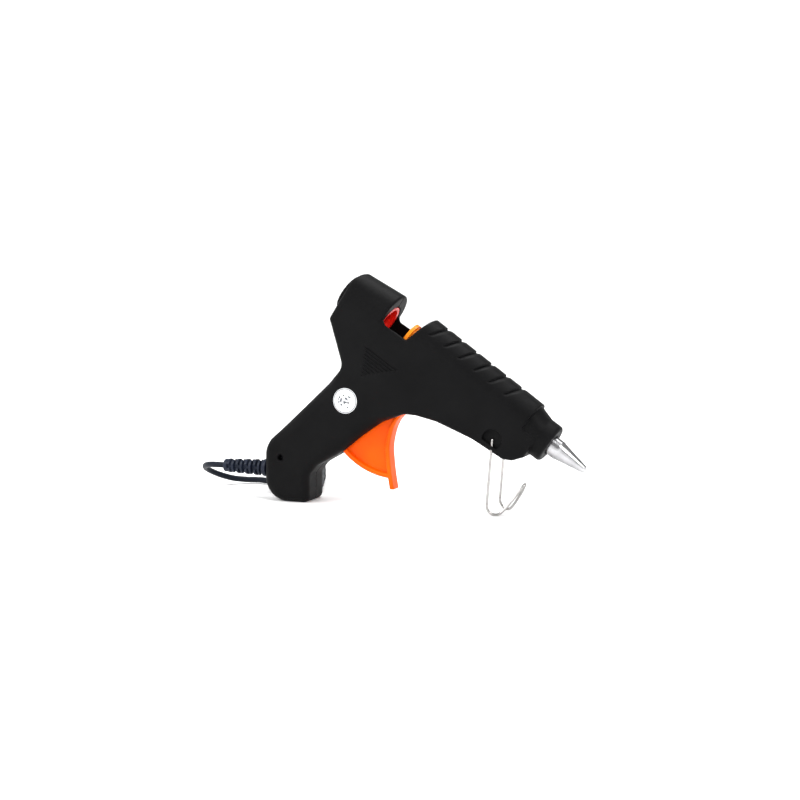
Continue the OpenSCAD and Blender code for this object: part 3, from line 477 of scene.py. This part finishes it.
def meshField(field, xs, ys, zs):
    # one vertex in each cell that the surface passes, at the mean of the points where the
    # surface cuts the cell's edges, then two steps along the gradient onto the surface;
    # the first layer of ys is a flat face, so its vertices follow the outline in it
    axes = (xs, ys, zs)
    f = field(xs[:, None, None], ys[None, :, None], zs[None, None, :])
    f = np.broadcast_to(f, (len(xs), len(ys), len(zs)))
    size = np.array(f.shape) - 1
    total, weight = np.zeros((*size, 3)), np.zeros(size)
    crossings = []
    for axis in range(3):
        low = [slice(None)] * 3
        high = [slice(None)] * 3
        low[axis], high[axis] = slice(None, -1), slice(1, None)
        a, b = f[tuple(low)], f[tuple(high)]
        cut = (a < 0) != (b < 0)
        i = np.stack(np.nonzero(cut), -1)
        part = a[cut] / (a[cut] - b[cut])
        place = np.stack([axes[d][i[:, d]] for d in range(3)], -1)
        place[:, axis] += part * (axes[axis][i[:, axis] + 1] - axes[axis][i[:, axis]])
        share = np.where((i[:, 1] == 0) & (axis == 1), 0.001, 1.0)
        others = [d for d in range(3) if d != axis]
        cells = []
        for da, db in ((0, 0), (1, 0), (1, 1), (0, 1)):
            cell = i.copy()
            cell[:, others[0]] -= da
            cell[:, others[1]] -= db
            good = (cell >= 0).all(1) & (cell < size).all(1)
            np.add.at(total, tuple(cell[good].T), place[good] * share[good, None])
            np.add.at(weight, tuple(cell[good].T), share[good])
            cells.append(cell)
        inner = np.all([(c >= 0).all(1) & (c < size).all(1) for c in cells], 0)
        quads = np.stack([c[inner] for c in cells], 1)
        flip = (a[cut][inner] < 0) == (axis == 1)
        quads[flip] = quads[flip][:, ::-1]
        crossings.append(quads)
    used = weight > 0
    number = np.full(size, -1)
    number[used] = np.arange(used.sum())
    points = total[used] / weight[used][:, None]
    flat = np.nonzero(used)[1] == 0
    quads = np.concatenate(crossings)
    quads = number[quads[..., 0], quads[..., 1], quads[..., 2]]
    h = 0.02
    reach = 0.35 * min(np.median(np.diff(axis)) for axis in axes)
    for _ in range(2):
        x, y, z = points.T
        value = field(x, y, z)
        slope = np.stack([field(x + h, y, z) - field(x - h, y, z), field(x, y + h, z) - field(x, y - h, z),
                          field(x, y, z + h) - field(x, y, z - h)], -1) / (2 * h)
        move = -value[:, None] * slope / np.maximum((slope**2).sum(1), 0.3)[:, None]
        far = np.maximum(np.linalg.norm(move, axis=1) / reach, 1)
        move /= far[:, None]
        move[flat] = 0
        points = points + move
    return points, quads


def filleted(corners):
    # an outline of (x, y, radius): an arc that touches both sides starts at radius / tan(half the
    # corner's angle) from the corner, and no further than just short of half a side
    corners = np.asarray(corners, float)
    outline = []
    for before, here, after in zip(np.roll(corners, 1, 0), corners, np.roll(corners, -1, 0)):
        a, b = before[:2] - here[:2], after[:2] - here[:2]
        la, lb = np.linalg.norm(a), np.linalg.norm(b)
        a, b = a / la, b / lb
        half = math.acos(max(-1, min(1, a @ b))) / 2
        if here[2] <= 0 or half > 1.55:
            outline.append(here[None, :2])
            continue
        cut = min(here[2] / math.tan(half), 0.48 * la, 0.48 * lb)
        t = np.linspace(0, 1, 9)[:, None]
        p, q = here[:2] + a * cut, here[:2] + b * cut
        radius = cut * math.tan(half)
        middle = here[:2] + (a + b) / np.linalg.norm(a + b) * radius / math.sin(half)
        ray = (1 - t) * (p - middle) + t * (q - middle)
        outline.append(middle + ray / np.linalg.norm(ray, axis=1)[:, None] * radius)
    return np.concatenate(outline)


def outlineDistance(outline, x, y):
    # signed distance to a closed outline: the nearest edge, negative inside
    x, y = np.broadcast_arrays(x, y)
    nearest, inside = np.full(x.shape, 1e9), np.zeros(x.shape, bool)
    for (ax, ay), (bx, by) in zip(outline, np.roll(outline, -1, 0)):
        ex, ey = bx - ax, by - ay
        if ex * ex + ey * ey < 1e-12:
            continue
        px, py = x - ax, y - ay
        t = np.clip((px * ex + py * ey) / (ex * ex + ey * ey), 0, 1)
        nearest = np.minimum(nearest, (px - t * ex) ** 2 + (py - t * ey) ** 2)
        inside ^= ((ay > y) != (by > y)) & (px < (y - ay) * ex / (ey if abs(ey) > 1e-12 else 1e-12))
    return np.where(inside, -1, 1) * np.sqrt(nearest)


# housing shells
housing = {"wall": 2.2, "gap": 0.04, "halfBarrel": 15.0, "halfHood": 16.5, "halfHandle": 14.8,
           "hoodTop": 17.4, "barrelTop": 20.1, "window": (35.2, 54.5),
           "groove": (70.7, 82.6, 94.7, 107.2, 119.5, 132.2), "grooveDepth": 1.4, "grooveLength": 3.5,
           "ventPitch": 2.1, "ventDepth": 0.75, "ventTop": -17,
           "ventBack": (34.7, -18, -18.8, -8.5, 20.6), "ventFront": (43.2, -36.8, 20.3, -20.9, 29.1),
           "bay": (137.8, -16.7), "bayRadius": 9.0, "bayBack": 11.1, "bayFloor": 12.2, "baySkin": 14.1,
           "eyeRadius": 6.6, "barrelEnd": 149.8, "neckHalf": 13.7, "neckTop": 16.1, "neckRound": 13.5,
           "collarEnd": 168.5, "collarRadius": 13, "inletRadius": 12.7, "inletBore": 6.2, "nozzleBore": 6.7,
           "mouthBore": 11.6, "bushBore": 8.45, "windowSide": 12.8, "windowFloor": -9, "slotHalf": 5.4,
           "leftScrew": (-94.87, 29.6), "waist": (-53.95, 87.45), "screwMouth": (2.1, 3.1),
           "well": 3.1, "wellFloor": 8, "pillar": 4.4,
           "cordHole": (-112.0, -100.0), "cordHeight": 19.8, "cordHoleRadius": 4.1}


def gunPoint(x, z, r):
    # a corner of the side outline from its place in the standing gun, with its radius
    return (*toGun(x, z), r)


def gripPoint(s, d):
    # s down the handle from the waist, d forward across it; the handle slopes at 45 degrees
    k = math.sqrt(0.5)
    return toGun(housing["waist"][0] - s * k + d * k, housing["waist"][1] - s * k - d * k)


sideOutline = filleted([
    (3.6, -18.5, 3), (3.6, 60, 0), (160.5, 60, 0), (160.5, -14.0, 1), (155.5, -20.4, 3), (150, -23.4, 4),
    (126.7, -25, 30), (101, -30.3, 30), (87.6, -35.4, 12), (80.3, -39.8, 5), (70, -54, 20), (64, -69, 30),
    (58.5, -86.8, 6), gunPoint(-70.5, 25, 8), gunPoint(-75.8, 18.5, 6), gunPoint(-75.8, 0, 4),
    gunPoint(-107.4, 0, 19), gunPoint(-107.4, 37.9, 16), gunPoint(-50.4, 90.7, 8)])
slotOutline = np.array([(81.8, -44.6), (76.8, -30.6), (69, -32), (48.5, -58), gripPoint(38, 21.5),
                        gripPoint(38, 33.5), gripPoint(38, 42.5)])
screwsRight = [(13, -24), (45, -28), (104, -21.6), gripPoint(38, 8.5)]
screwsLeft = [toGun(*housing["leftScrew"])]
cordU, cordV = toGun(np.array(housing["cordHole"]), np.full(2, housing["cordHeight"]))
cordHoleLength = housing["cordHole"][1] - housing["cordHole"][0]
cordTurnU, cordTurnV = np.diff(cordU)[0] / cordHoleLength, np.diff(cordV)[0] / cordHoleLength


def archDistance(y, v, top, half):
    # half a round vault of radius half under the line v = top, with upright sides below
    return np.where(v > top - half, np.hypot(y, v - top + half), np.abs(y)) - half


def bodyDistance(u, y, v):
    # below the stick: the side outline within the width, its edges rounded more on the handle;
    # above: hood, window sill, barrel and neck, each a vault with flat ends
    grip = ease((-42 - v) / 16)
    shoulder = 0.6 + np.maximum(3.5 - v, 0)
    half = (housing["halfBarrel"] + (housing["halfHandle"] - housing["halfBarrel"]) * grip
            + 1.5 * ease((housing["window"][0] + 0.3 - u) / shoulder) * ease((v + 24) / 22))
    heel = ease((-96 - v + 0.2 * u) / 30)
    lower = roundMax(outlineDistance(sideOutline, u, v), np.abs(y) - half, 3.5 + 5.5 * grip - 3.5 * heel)
    hood = archDistance(y, v, housing["hoodTop"] + (u - 6.5) * 0.096, housing["halfHood"])
    hood = roundMax(hood, u - housing["window"][0], 1.2)
    hood = roundMax(hood, ((3.6 - u) * 4.9 + (v - 15.4) * 2.9) / 5.69, 1.5)
    sill = roundMax(v - 0.5 - 0.5 * ease((u - 33) / 22), np.abs(y) - housing["halfBarrel"], 1.5)
    barrelTop = housing["barrelTop"] - (u - 60.5) * 0.028
    barrel = archDistance(y, v, barrelTop, housing["halfBarrel"])
    angle = np.degrees(np.arctan2(np.abs(y), v - barrelTop + housing["halfBarrel"]))
    groove = 0 * barrel
    for start in housing["groove"]:
        onward = u - (start - 5.2 * np.clip(angle / 59, 0, 1.3) ** 1.7)
        ramp = np.clip(1 - onward / housing["grooveLength"], 0, 1) ** 1.5
        groove = np.maximum(groove, ramp * np.clip((onward + 0.35) / 0.35, 0, 1))
    barrel = barrel + housing["grooveDepth"] * groove * ease((62 - angle) / 10) * (v > barrelTop - 10)
    barrel = roundMax(barrel, (55.5 - u + (v - 0.5) * 0.27) * 0.965, 1.2)
    barrel = roundMax(barrel, u - housing["barrelEnd"], 0.4)
    ahead = np.maximum(u - 149.2, 0)
    neckHalf = housing["neckHalf"] - ahead * 0.075 + 1.5 * ease((-10 - v) / 8)
    neckRound = housing["neckRound"]
    centre = housing["neckTop"] - ahead * 0.31 - neckRound
    neck = np.where(v > centre, np.hypot(y, v - centre) - neckRound, np.abs(y) - neckHalf)
    neck = roundMax(neck, 140 - u, 0.5)
    hoodAndSill = -roundMax(-hood, -sill, 4.0)
    top = np.minimum(hoodAndSill, np.minimum(barrel, neck))
    whole = roundMax(lower, top, 0.6)
    axisDistance = np.hypot(y, v)
    collar = roundMax(axisDistance - housing["collarRadius"], u - housing["collarEnd"], 2.2)
    collar = roundMax(collar, 150 - u, 0.5)
    inlet = roundMax(roundMax(axisDistance - housing["inletRadius"], 1 - u, 1.2), u - 8, 0.5)
    return np.minimum(np.minimum(whole, collar), inlet)


def bayDistance(u, v, grow):
    # the stand's bay: a disc round the pivot, open downwards and further back than forward
    bu, bv = housing["bay"]
    r = housing["bayRadius"] + grow
    low = np.maximum(np.maximum(u - bu - r, bu - housing["bayBack"] - grow - u), v - bv)
    return np.minimum(np.hypot(u - bu, v - bv) - r, low)


def pastLine(u, v, line):
    # ((u - lineU) normalU + (v - lineV) normalV) / length of the normal
    lineU, lineV, normalU, normalV, length = line
    return ((u - lineU) * normalU + (v - lineV) * normalV) / length


def ventCut(u, v):
    # a triangle of grooves that run along the stick, each groove rounded
    edge = np.maximum(v - housing["ventTop"], np.maximum(pastLine(u, v, housing["ventBack"]),
                                                         pastLine(u, v, housing["ventFront"])))
    phase = ((v + 17.4) / housing["ventPitch"]) % 1
    line = np.clip(1 - np.abs(phase - 0.5) / 0.3, 0, 1)
    return housing["ventDepth"] * np.sqrt(line) * ease(-edge / 0.8)


def shellField(side):
    # body less the hollow a wall further in, with pillars round the screws, less every opening
    wells = screwsRight if side > 0 else screwsLeft

    def field(u, y, v):
        body = bodyDistance(u, y, v) + ventCut(u, v) * (y > 9)
        cavity = body + housing["wall"]
        cavity = np.maximum(cavity, np.where(y > housing["bayFloor"] - 2, -bayDistance(u, v, 1.6), -9))
        for su, sv in screwsRight + screwsLeft:
            cavity = np.maximum(cavity, housing["pillar"] - np.hypot(u - su, v - sv))
        shell = np.maximum(body, -cavity)
        radial = np.hypot(y, v)
        inlet = np.maximum(radial - housing["inletBore"], u - 12)
        nozzleBore = np.maximum(radial - housing["nozzleBore"], 160 - u)
        hoodMouth = np.maximum(radial - housing["mouthBore"], np.abs(u - 34) - 4.0)
        bushSeat = np.maximum(radial - housing["bushBore"], np.abs(u - 58.5) - 5.5)
        window = np.maximum(np.maximum(housing["window"][0] + 0.2 - u, u - housing["window"][1]),
                            np.maximum(y - housing["windowSide"], housing["windowFloor"] - v))
        triggerSlot = np.maximum(outlineDistance(slotOutline, u, v), y - housing["slotHalf"])
        bay = np.maximum(bayDistance(u, v, 0), np.maximum(housing["bayFloor"] - y, y - housing["baySkin"]))
        bayU, bayV = housing["bay"]
        eye = np.maximum(np.maximum(np.hypot(u - bayU, v - bayV) - housing["eyeRadius"], bayV - 3.5 - v),
                         housing["bayFloor"] - y)
        along = (u - cordU[0]) * cordTurnU + (v - cordV[0]) * cordTurnV
        across = np.sqrt(np.maximum((u - cordU[0]) ** 2 + (v - cordV[0]) ** 2 - along**2, 0))
        cordBore = np.maximum(np.hypot(across, y) - housing["cordHoleRadius"], np.abs(along - 4) - 5)
        cuts = [inlet, nozzleBore, hoodMouth, bushSeat, window, triggerSlot, bay, eye, cordBore]
        for su, sv in wells:
            mouth = housing["screwMouth"][0 if side < 0 else 1]
            radius = np.where(y > 10.4, mouth, housing["well"])
            cuts.append(np.maximum(np.hypot(u - su, v - sv) - radius, housing["wellFloor"] - y))
        for cut in cuts:
            shell = np.maximum(shell, -cut)
        return np.maximum(shell, housing["gap"] - y)
    return field


# cells are finest across the flanks and in the rows below the stick
cell = 0.75
shellU = np.arange(-2, 171, cell)
shellY = np.concatenate([[-0.3, housing["gap"] + 0.001, 0.4, 0.9], np.arange(1.5, 11.7, 0.85),
                         np.arange(11.9, 15.4, 0.35), np.arange(15.5, 18, 0.6)])
shellV = np.concatenate([np.arange(-142, -38, cell), np.arange(-38, -16, 0.35), np.arange(-16, 22, 0.7)])
for side, shellName, nodeName in ((-1, "leftShell", "left_shell"), (1, "rightShell", "right_shell")):
    points, quads = meshField(shellField(side), shellU, shellY, shellV)
    points = toWorld(points[:, 0], side * points[:, 1], points[:, 2])
    makePiece(shellName, points, quads if side > 0 else quads[:, ::-1], "blackShell", "housing",
              [nodeName], smooth=38)
    print(shellName, len(quads) * 2)


# trigger: a front flange, a thin web, a rim along the lower edge, a hub and the drive fork
trigger = {"pivot": (-16.33, 69.91), "half": 5.0, "webHalf": 2.0, "radius": 51.5, "rim": 3.0, "flange": 2.9,
           "hub": 4.6, "bore": 2.06, "forkTurn": 69, "forkHalf": 3.3, "forkReach": 13.5, "slotHalf": 1.62,
           "front": [(4.5, -8.8), (0.2, -14), (-2.6, -20.4), (-4.6, -30.4), (-4.3, -39), (-3.2, -49),
                     (-1.6, -58.6)]}


def arcPoints(radius, fromAngle, toAngle, count=24):
    # points (radius cos a, radius sin a) on an arc about the pivot
    a = np.radians(np.linspace(fromAngle, toAngle, count))
    return np.stack([radius * np.cos(a), radius * np.sin(a)], -1)


frontCurve = smoothPath([(*q, 0) for q in trigger["front"]], 2.0)[:, :2]
flangeOutline = np.concatenate([frontCurve, frontCurve[::-1] - (trigger["flange"], 0)])
webOutline = np.concatenate([[(2, 0)], frontCurve[:-8] - (0.5, 0), arcPoints(trigger["radius"] - 1, 264, 217),
                             [(-3, 0)]])
rimOutline = np.concatenate([arcPoints(trigger["radius"], 266, 217),
                             arcPoints(trigger["radius"] - trigger["rim"], 217, 266)])


def triggerField(x, y, z):
    # the nearest of flange, web, rim, hub and fork, less the fork's slot and the pin's bore; a soft
    # fillet of (0.9 - gap)^2 / 3.6 fills the corner where the web meets flange and rim
    side = np.abs(y)
    flange = roundMax(outlineDistance(flangeOutline, x, z), side - trigger["half"], 1.1)
    web = np.maximum(outlineDistance(webOutline, x, z), side - trigger["webHalf"])
    rim = roundMax(outlineDistance(rimOutline, x, z), side - trigger["half"], 0.7)
    hub = roundMax(np.hypot(x, z) - trigger["hub"], side - trigger["half"], 0.5)
    k, m = math.cos(math.radians(trigger["forkTurn"])), math.sin(math.radians(trigger["forkTurn"]))
    along, across = x * k + z * m, z * k - x * m
    reach = trigger["forkReach"]
    fork = np.maximum(np.maximum(np.abs(along - reach) - reach, np.abs(across) - 3.6),
                      side - trigger["forkHalf"])
    fork = np.maximum(fork, -np.maximum(np.abs(along - 26.6) - 4, np.abs(across) - trigger["slotHalf"]))
    joined = np.minimum(flange, rim)
    fillet = np.maximum(0.9 - np.abs(joined - web), 0) ** 2 / 3.6 * (side < trigger["half"] - 0.3)
    whole = np.minimum(np.minimum(joined, web) - fillet, np.minimum(hub, fork))
    return np.maximum(whole, trigger["bore"] - np.hypot(x, z))


points, quads = meshField(triggerField, np.arange(-43, 7, 0.5), np.arange(-5.7, 5.8, 0.47),
                          np.arange(-60.5, 28, 0.5))
points = points + (trigger["pivot"][0], 0, trigger["pivot"][1])
makePiece("triggerPiece", points / 1000, quads, "orangePlastic", "trigger", ["trigger"], smooth=42)
print("trigger", len(quads) * 2)


# nozzle, turned about the stick's axis, with its valve bore and orifice
nozzle = {"profile": [(156.1, 5.1), (156.1, 8.0), (160, 8.0), (160, 6.3), (168, 6.3), (174.6, 6.3),
                      (175.2, 6.15), (175.9, 5.85), (185, 4.1), (193.6, 2.45), (194.4, 2.25), (194.85, 1.9),
                      (195, 1.5), (195, 0.85), (194.8, 0.8), (181, 0.8), (178, 2.7), (163, 2.7),
                      (163, 5.1)],
          "around": 72, "step": 1.2}
profile = np.array(nozzle["profile"])
sides = np.abs(np.diff(np.concatenate([profile, profile[:1]]), axis=0)).max(1)
steps = np.maximum(1, np.ceil(sides / nozzle["step"])).astype(int)
which = np.repeat(np.arange(len(profile)), steps)
part = ((np.arange(len(which)) - np.repeat(np.cumsum(steps) - steps, steps)) / steps[which])[:, None]
profile = profile[which] * (1 - part) + np.roll(profile, -1, 0)[which] * part
ringPoints = turnedSurface(profile, nozzle["around"])
nozzlePoints = toWorld(ringPoints[..., 0], ringPoints[..., 1], ringPoints[..., 2]).reshape(-1, 3)
makePiece("nozzlePiece", nozzlePoints, gridQuads(len(profile), nozzle["around"], True), "aluminium",
          "housing", ["nozzle"], smooth=35)

# the stand: one bent wire, mirrored about the middle; only half of it is written down
stand = {"radius": 0.82, "around": 20, "tip": (70.2, 0, 19.6),
         "half": [(52.62, 10.4, 49.1), (52.62, 11.8, 49.1), (52.62, 12.8, 48.8), (52.5, 13.15, 47.7),
                  (52.0, 13.15, 42), (49.5, 13.15, 11), (49.22, 13.15, 8), (49.32, 13.1, 5.4),
                  (50.0, 12.9, 3.5), (51.7, 12.5, 1.75), (54.3, 11.7, 0.9), (57.0, 10.7, 1.6),
                  (60.0, 9.0, 4.6), (66.0, 5.2, 12.7), (69.2, 2.2, 18.0)]}
half = np.array(stand["half"], float)
standPath = smoothPath(np.concatenate([half, [stand["tip"]], half[::-1] * (1, -1, 1)]), 0.8)
standMesh = cappedMesh("standPiece", *roundTube(standPath / 1000, stand["radius"] / 1000, stand["around"]))
placePiece("standPiece", standMesh, "wire", "stand", ["wire_stand"])
print("nozzle and stand made")

# the round sticker: white, a thin dark border and a scatter of small marks
sticker = {"centre": (43.2, -56.0), "radius": 8.3, "back": -14.83, "front": -15.08, "around": 96,
           "rimStops": ((0.445, 0), (0.455, 1), (0.475, 1), (0.485, 0)), "rimScale": 0.0166,
           "markScale": 620.0, "markSize": 0.42, "markReach": 0.0052, "ink": (0.06, 0.065, 0.08, 1)}
stickerAt = toWorld(np.array([sticker["centre"][0]]), np.array([0.0]), np.array([sticker["centre"][1]]))[0]
a = np.linspace(0, 2 * math.pi, sticker["around"], endpoint=False)
radii = np.array([0.002, 1.0, 1.0, 0.985, 0.6, 0.002])[:, None] * sticker["radius"]
depth = np.array([sticker["back"]] * 2 + [-15.0] + [sticker["front"]] * 3)[:, None]
discGrid = np.stack([stickerAt[0] * 1000 + radii * np.cos(a), depth + 0 * a,
                     stickerAt[2] * 1000 + radii * np.sin(a)], -1)
stickerPaint = makeFinish("stickerPaint", ((0.75, 0.76, 0.78), (0.86, 0.87, 0.88)), (0.25, 0.4),
                          0.0008, (0.05, 0.0001), patch=0.01)
tree = stickerPaint.node_tree
shader = tree.nodes["Principled BSDF"]
base = shader.inputs["Base Color"].links[0].from_socket
place = addNode(tree, "ShaderNodeTexCoord")
centred = addNode(tree, "ShaderNodeMapping")
centred.inputs["Location"].default_value = (-stickerAt[0], 0, -stickerAt[2])
flatten = addNode(tree, "ShaderNodeVectorMath", operation="MULTIPLY")
flatten.inputs[1].default_value = (1, 0, 1)
away = addNode(tree, "ShaderNodeVectorMath", operation="LENGTH")
tree.links.new(place.outputs["Object"], centred.inputs["Vector"])
tree.links.new(centred.outputs["Vector"], flatten.inputs[0])
tree.links.new(flatten.outputs["Vector"], away.inputs[0])
border = addNode(tree, "ShaderNodeValToRGB")
for position, tone in sticker["rimStops"]:
    stop = border.color_ramp.elements.new(position)
    stop.color = (tone, tone, tone, 1)
border.color_ramp.elements[0].color = (0, 0, 0, 1)
border.color_ramp.elements[-1].color = (0, 0, 0, 1)
scale = addNode(tree, "ShaderNodeMath", operation="MULTIPLY")
scale.inputs[1].default_value = 1 / sticker["rimScale"]
tree.links.new(away.outputs["Value"], scale.inputs[0])
tree.links.new(scale.outputs["Value"], border.inputs["Fac"])
marks = addNode(tree, "ShaderNodeTexVoronoi", Scale=sticker["markScale"])
marks.inputs["Randomness"].default_value = 0.9
tree.links.new(flatten.outputs["Vector"], marks.inputs["Vector"])
spots = addNode(tree, "ShaderNodeMath", operation="LESS_THAN")
spots.inputs[1].default_value = sticker["markSize"]
tree.links.new(marks.outputs["Distance"], spots.inputs[0])
within = addNode(tree, "ShaderNodeMath", operation="LESS_THAN")
within.inputs[1].default_value = sticker["markReach"]
tree.links.new(away.outputs["Value"], within.inputs[0])
both = addNode(tree, "ShaderNodeMath", operation="MULTIPLY")
tree.links.new(spots.outputs["Value"], both.inputs[0])
tree.links.new(within.outputs["Value"], both.inputs[1])
either = addNode(tree, "ShaderNodeMath", operation="MAXIMUM")
tree.links.new(both.outputs["Value"], either.inputs[0])
tree.links.new(border.outputs["Color"], either.inputs[1])
ink = addNode(tree, "ShaderNodeMix", data_type="RGBA")
tree.links.new(either.outputs["Value"], ink.inputs["Factor"])
tree.links.new(base, ink.inputs[6])
ink.inputs[7].default_value = sticker["ink"]
tree.links.new(ink.outputs[2], shader.inputs["Base Color"])
makePiece("stickerPiece", discGrid.reshape(-1, 3) / 1000, gridQuads(*discGrid.shape[:2]), stickerPaint,
          "housing", ["side_label"], smooth=50)

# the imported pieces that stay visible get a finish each
nodeFinishes = {
    "check_ball": "steel", "check_spring": "steel", "heating_chamber": "castAluminium",
    "heater_plate": "ceramic", "heater_electrodes": "brass", "heater_insulation": "film",
    "heater_clip": "steel", "silicone_sleeve": "silicone", "sleeve_clamp": "steel",
    "inlet_bush": "bushOrange", "feed_carriage": "redPlastic", "grip_jaw": "redPlastic",
    "jaw_pin": "steel", "trigger_pin": "steel", "return_spring": "steel",
    "cord_clamp": "whiteNylon", "clamp_screws": "steel", "housing_screws": "steel",
    "handle_screw": "darkSteel", "heater_leads": "braid", "cord_cores": "coreBrown",
    "crimp_sleeves": "brass", "plug_pins": "steel",
}
for nodeName, finish in nodeFinishes.items():
    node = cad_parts[nodeName]
    node.data.materials.clear()
    node.data.materials.append(finishes[finish])
print("finishes set on the packed pieces")
